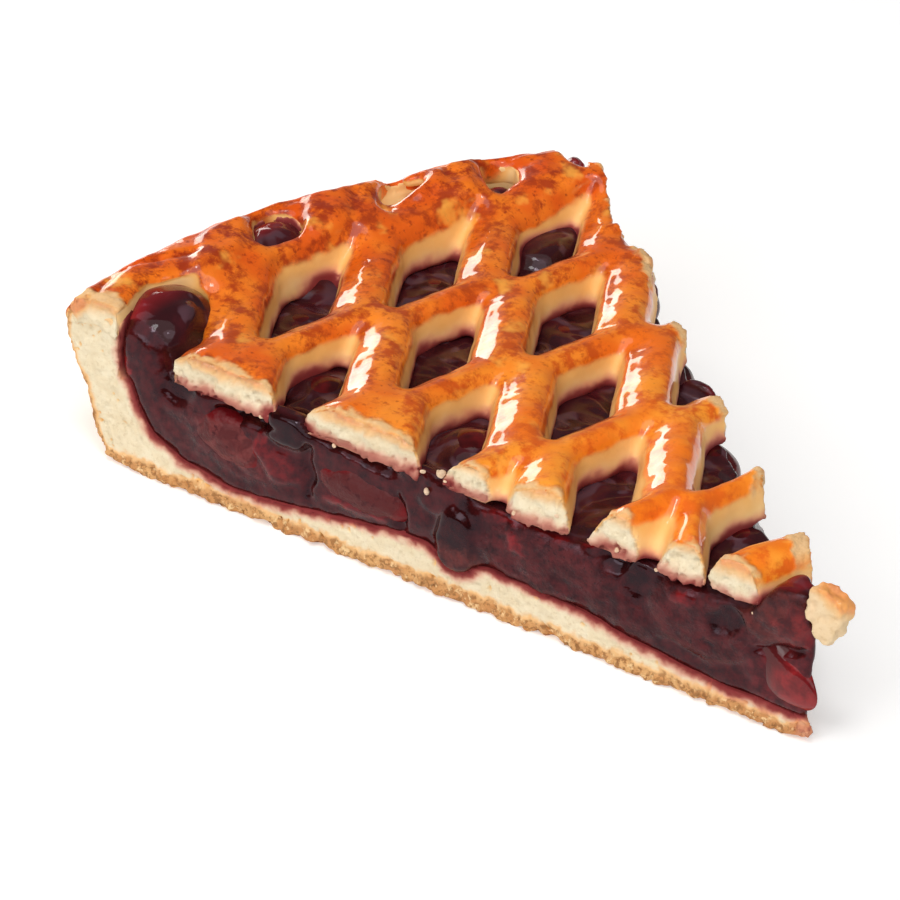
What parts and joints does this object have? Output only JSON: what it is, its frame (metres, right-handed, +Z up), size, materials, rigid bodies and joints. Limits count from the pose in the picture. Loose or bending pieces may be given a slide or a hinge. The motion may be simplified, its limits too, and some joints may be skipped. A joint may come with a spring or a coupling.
{
  "type": "slice of cherry pie",
  "caption": "Wedge-shaped slice of round lattice-topped cherry pie: thick baked base and rim, glossy cherry filling showing at the cuts and through the lattice.",
  "frame": {"origin": "middle of the bounding box's underside, on the surface that the slice stands on", "axes": "+Z up; the near cut faces -Y and runs along X, with the rim end at -X and the pointed tip at +X; the far cut leaves the tip at 45 degrees to it"},
  "size_m": [0.1474, 0.097, 0.0318],
  "materials": {
    "baked_crumb": "matt baked crumb with a thin golden-brown skin underneath and outside",
    "glazed_crust": "glossy glazed golden-brown crust, mottled, paler at the strips' sides",
    "cherry_skin": "wet dark red skin",
    "cut_cherry": "moist cut flesh, dark red",
    "cherry_gel": "thick glossy wine-red gel, duller where it was cut"
  },
  "bodies": {
    "root": {"pastry_shell": "baked_crumb", "pastry_lattice": "glazed_crust", "tip_strip": "glazed_crust", "tip_scrap": "glazed_crust", "cherry_filling": "cherry_gel", "cherry_01": "cherry_skin", "cherry_02": "cherry_skin", "cherry_03": "cherry_skin", "cherry_04": "cherry_skin", "cherry_05": "cherry_skin", "cherry_06": "cherry_skin", "cherry_07": "cherry_skin", "cherry_08": "cherry_skin", "cherry_09": "cherry_skin", "cherry_10": "cherry_skin", "cherry_11": "cherry_skin", "cherry_12": "cherry_skin", "cherry_13": "cherry_skin", "cherry_14": "cherry_skin", "cherry_15": "cherry_skin", "cherry_16": "cherry_skin", "cherry_17": "cherry_skin", "cut_cherry_1": "cut_cherry", "cut_cherry_2": "cut_cherry", "cut_cherry_3": "cut_cherry"}
  },
  "joints": []
}
